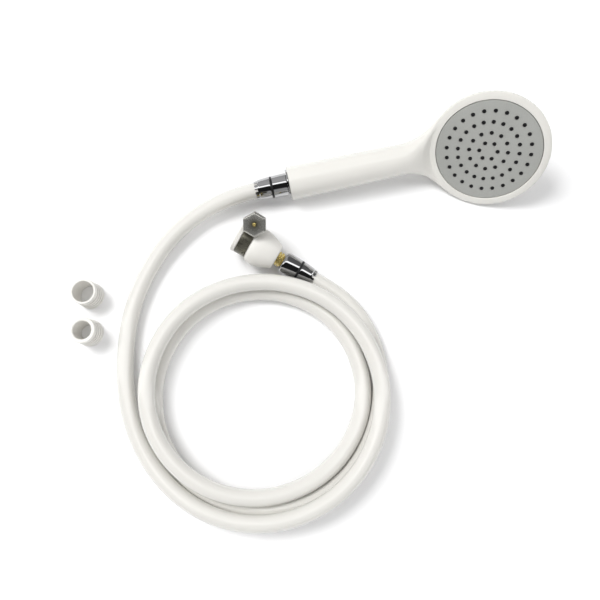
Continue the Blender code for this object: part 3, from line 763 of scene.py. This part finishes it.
def make_band():
    band = bmesh.new()
    outline = band_outline()
    rows = [[band.verts.new((x, y, z)) for y, z in outline] for x in BAND_EDGES]
    count, half = len(outline), len(outline) // 2
    for k in range(count):
        n = (k + 1) % count
        band.faces.new((rows[0][k], rows[0][n], rows[1][n], rows[1][k]))
    for row in rows:
        for k in range(half - 1):
            band.faces.new((row[k], row[k + 1], row[count - 2 - k], row[count - 1 - k]))
    piece = to_object("clamp_band_fine", band, BODY)
    combine(piece, turned_mesh([(-6, 0), (-6, 2.2), (6, 2.2), (6, 0)], 40), SCREW)
    soften(piece, 0.14)
    attach(piece, "connector", BAND_STEEL, "clamp_steel", "clamp_band")


# ---------------------------------------------------------------- clamp screw and its cap

CAP_BOTTOM, CAP_TOP, CAP_HALF = 14.6, 20.8, 9.2


def hex_cap_limit(x, radius, angle):
    """A hexagon with crisp corners and a bevel that follows its sides at the top."""
    if radius < 5:
        return radius
    across = radius / math.cos((angle + math.pi / 6) % (math.pi / 3) - math.pi / 6)
    return min(across, radius / math.cos(math.pi / 6) - 0.12, CAP_HALF + 0.85 + max(0.0, x - CAP_BOTTOM))


def make_clamp_screw():
    turned("clamp_nut", [
        (-6.6, 2.2), (-6.6, 3.1, 0), (-6.2, 3.15, 0), (-3.8, 3.15, 0), (-3.4, 3.1, 0), (-3.4, 2.2)],
        SCREW, "connector", BRASS, "brass", sides=96,
        limit=hexagon(6.2, 0.1, [(-6.6, -1, 3.2, 1.0), (-3.4, 1, 3.2, 1.0)]))
    turned("clamp_spacer", [(3.4, 2.2), (3.4, 2.85, 0.2), (12.9, 2.85, 0.2), (12.9, 2.2)],
           SCREW, "connector", BRASS, "brass", sides=64)
    turned("clamp_washer", [(13.2, 2.2), (13.2, 5.0, 0.2), (14.0, 5.0, 0.2), (14.0, 2.2)],
           SCREW, "clamp_washer", CHROME, "chrome", sides=96)
    turned("clamp_screw", [
        (-8.6, 0, 0), (-8.6, 1.5, 0), (-8.2, 1.9, 0), (14.3, 1.9), (14.3, 1.4), (21.0, 1.4, 0),
        (21.3, 1.25, 0), (21.5, 0.9, 0), (21.5, 0, 0)], SCREW, "clamp_screw", BRASS, "brass", sides=48)
    cap = turned("hex_cap", [
        (CAP_BOTTOM, 1.7), (CAP_BOTTOM, CAP_HALF, 0), (CAP_BOTTOM + 0.4, CAP_HALF, 0),
        (CAP_TOP - 1.15, CAP_HALF, 0), (CAP_TOP - 0.8, CAP_HALF, 0), (CAP_TOP - 0.65, CAP_HALF - 0.12, 0),
        (CAP_TOP - 0.1, CAP_HALF - 1.12, 0), (CAP_TOP, CAP_HALF - 1.35, 0), (CAP_TOP, 2.1, 0.1),
        (CAP_TOP - 0.3, 1.7, 0.1)],
        SCREW, "clamp_screw", CAP_STEEL, "clamp_steel", sides=144, limit=hex_cap_limit)
    height, radius = own_turned(cap)
    polish_and_painted_shade(cap, (height > CAP_TOP - 0.85) & (radius > CAP_HALF - 1.4))  # the bevel at the top


# ---------------------------------------------------------------- loose sleeves

SLEEVE_H, SLEEVE_R, GROOVES = 22.0, 11.5, 4
FIRST_GROOVE, TOP_BAND = 2.2, 3.2
GROOVE_DEPTH, RIB_TAPER = 1.3, 0.16  # each rib is a little slimmer than the one below


def make_sleeve(name, bore, body):
    radius = SLEEVE_R
    outline = [(0, bore, 0.5), (0, radius - 0.4, 0.6), (0.6, radius, 0.4)]
    bottoms = []
    for k in range(GROOVES):
        x = FIRST_GROOVE + (SLEEVE_H - FIRST_GROOVE - TOP_BAND) / GROOVES * k
        bottoms.append((x + 0.5, radius - GROOVE_DEPTH))
        outline += [(x, radius, 0.3), (*bottoms[-1], 0.3), (x + 2.3, radius - RIB_TAPER, 0.5)]
        radius -= RIB_TAPER
    flare = 0.2 * (radius - bore)
    outline += [(SLEEVE_H - 0.5, radius, 0.5), (SLEEVE_H, radius - 0.6, 0.5), (SLEEVE_H, bore + flare, 0.7),
                (SLEEVE_H - 1.4 * flare, bore, 1.5)]
    sleeve = turned(name, outline, sleeve_frame(name), body, SLEEVE_RUBBER, "white_rubber", sides=128)
    along, around = own_turned(sleeve)
    # painted shade: the groove bottoms get a darker colour
    polish_and_painted_shade(sleeve, np.any([np.hypot(along - x, around - r) < 0.6 for x, r in bottoms], axis=0))


# ---------------------------------------------------------------- build

make_handle()
make_face()
make_couplings()
make_hose()
make_connector()
make_band()
make_clamp_screw()
make_sleeve("reducer_sleeve_wide", 8.8, "wide_sleeve")
make_sleeve("reducer_sleeve_narrow", 7.55, "narrow_sleeve")

for look, names in ((INNER_PLASTIC, ["spray_distributor"]), (INNER_BRASS, ["handle_barb", "tap_barb"]),
                    (INNER_RUBBER, ["face_seal", "inlet_washer", "handle_barb_seal", "tap_barb_seal"])):
    for name in names:
        nodes[name].data.materials.clear()
        nodes[name].data.materials.append(look)


# ---------------------------------------------------------------- floor, light and camera

FLOOR_HALF, BACKDROP_R = 5.5, 5.0  # metres
FLOOR_DROP = 0.0002
CAMERA_TILT, CAMERA_DISTANCE = math.radians(10), 0.525
CAMERA_AIM = Vector((-0.00737, 0.0159, 0))  # the middle of the picture


def staged(name, mesh, look):
    """A thing of the setting, which is no part of the object."""
    mesh.materials.append(look)
    thing = bpy.data.objects.new(name, mesh)
    bpy.context.scene.collection.objects.link(thing)
    return thing


def make_floor():
    mesh = bpy.data.meshes.new("floor")
    corners = [(x * FLOOR_HALF, y * FLOOR_HALF, 0) for x, y in ((-1, -1), (1, -1), (1, 1), (-1, 1))]
    mesh.from_pydata(corners, [], [(0, 1, 2, 3)])
    look = make_material("floor_white", (0.93, 0.93, 0.935), 0.75, shade=0.99, patch=3, source="Object",
                         specular=0.1, grain=[(200, (1, 1, 1), 0.0001, 0.02)])
    staged("floor", mesh, look).location = (0, 0, cad_box[0][2] - FLOOR_DROP)


def make_backdrop():
    """A pale backdrop for level views; the lights and the chrome don't see it."""
    look = bpy.data.materials.new("backdrop_pale")
    look.use_nodes = True
    shader = look.node_tree.nodes["Principled BSDF"]
    shader.inputs["Base Color"].default_value = (0, 0, 0, 1)
    shader.inputs["Specular IOR Level"].default_value = 0.0
    shader.inputs["Emission Color"].default_value = (0.90, 0.90, 0.905, 1)
    shader.inputs["Emission Strength"].default_value = 1.0
    shape = bmesh.new()
    bmesh.ops.create_uvsphere(shape, u_segments=48, v_segments=24, radius=BACKDROP_R)
    mesh = bpy.data.meshes.new("backdrop")
    shape.to_mesh(mesh)
    shape.free()
    backdrop = staged("backdrop", mesh, look)
    backdrop.visible_diffuse = backdrop.visible_glossy = backdrop.visible_shadow = False
    backdrop.visible_transmission = backdrop.visible_volume_scatter = False


def make_world():
    """Light and dark strips overhead, which the chrome mirrors."""
    world = bpy.data.worlds.new("studio")
    bpy.context.scene.world = world
    world.use_nodes = True
    tree = world.node_tree
    background = tree.nodes["Background"]
    coords = add_node(tree, "ShaderNodeTexCoord")
    split = add_node(tree, "ShaderNodeSeparateXYZ")
    tree.links.new(coords.outputs["Generated"], split.inputs[0])

    def strips(*stops):
        """Grey levels by direction along Y, from -1 to 1."""
        node = add_node(tree, "ShaderNodeValToRGB")
        while len(node.color_ramp.elements) < len(stops):
            node.color_ramp.elements.new(0.5)
        for element, (y, value) in zip(node.color_ramp.elements, stops):
            element.position = (y + 1) / 2
            element.color = (value, value, value, 1)
        tree.links.new(ranged(tree, split.outputs["Y"], 0.0, 1.0, -1.0, 1.0), node.inputs["Fac"])
        return node.outputs["Color"]

    near = (-1.0, 0.45), (-0.82, 0.45), (-0.74, 0.02), (-0.03, 0.02), (0.01, 2.2), (0.19, 2.2)
    left = strips(*near, (0.26, 0.40), (0.45, 0.62), (1.0, 0.55))
    right = strips(*near, (0.26, 0.16), (0.80, 0.16), (0.90, 0.40), (1.0, 0.40))
    side = ranged(tree, split.outputs["X"], 0.0, 1.0, 0.0, 0.28)
    tree.links.new(mixed(tree, side, left, right), background.inputs["Color"])
    background.inputs["Strength"].default_value = 1.0


def make_light(name, place, size, power):
    """A square soft light that shines at the origin; the chrome doesn't mirror it."""
    light = bpy.data.lights.new(name, "AREA")
    light.shape = "RECTANGLE"
    light.size = light.size_y = size
    light.energy = power
    holder = bpy.data.objects.new(name, light)
    bpy.context.scene.collection.objects.link(holder)
    holder.location = place
    holder.rotation_euler = (-Vector(place)).to_track_quat("-Z", "Y").to_euler()
    holder.visible_glossy = False


def make_camera():
    data = bpy.data.cameras.new("camera")
    data.lens, data.sensor_width = 36.0, 36.0
    data.clip_start, data.clip_end = 0.01, 20
    camera = bpy.data.objects.new("camera", data)
    bpy.context.scene.collection.objects.link(camera)
    away = Vector((0, -math.sin(CAMERA_TILT), math.cos(CAMERA_TILT)))
    camera.location = CAMERA_AIM + CAMERA_DISTANCE * away
    camera.rotation_euler = (CAMERA_TILT, 0, 0)
    bpy.context.scene.camera = camera
    bpy.context.scene.view_settings.view_transform = "Standard"


make_floor()
make_backdrop()
make_world()
make_light("key", (-1.3, 0.95, 2.5), 1.1, 54)
make_light("fill", (0.5, -1.9, 2.35), 2.8, 39)
make_camera()

bpy.context.view_layer.update()
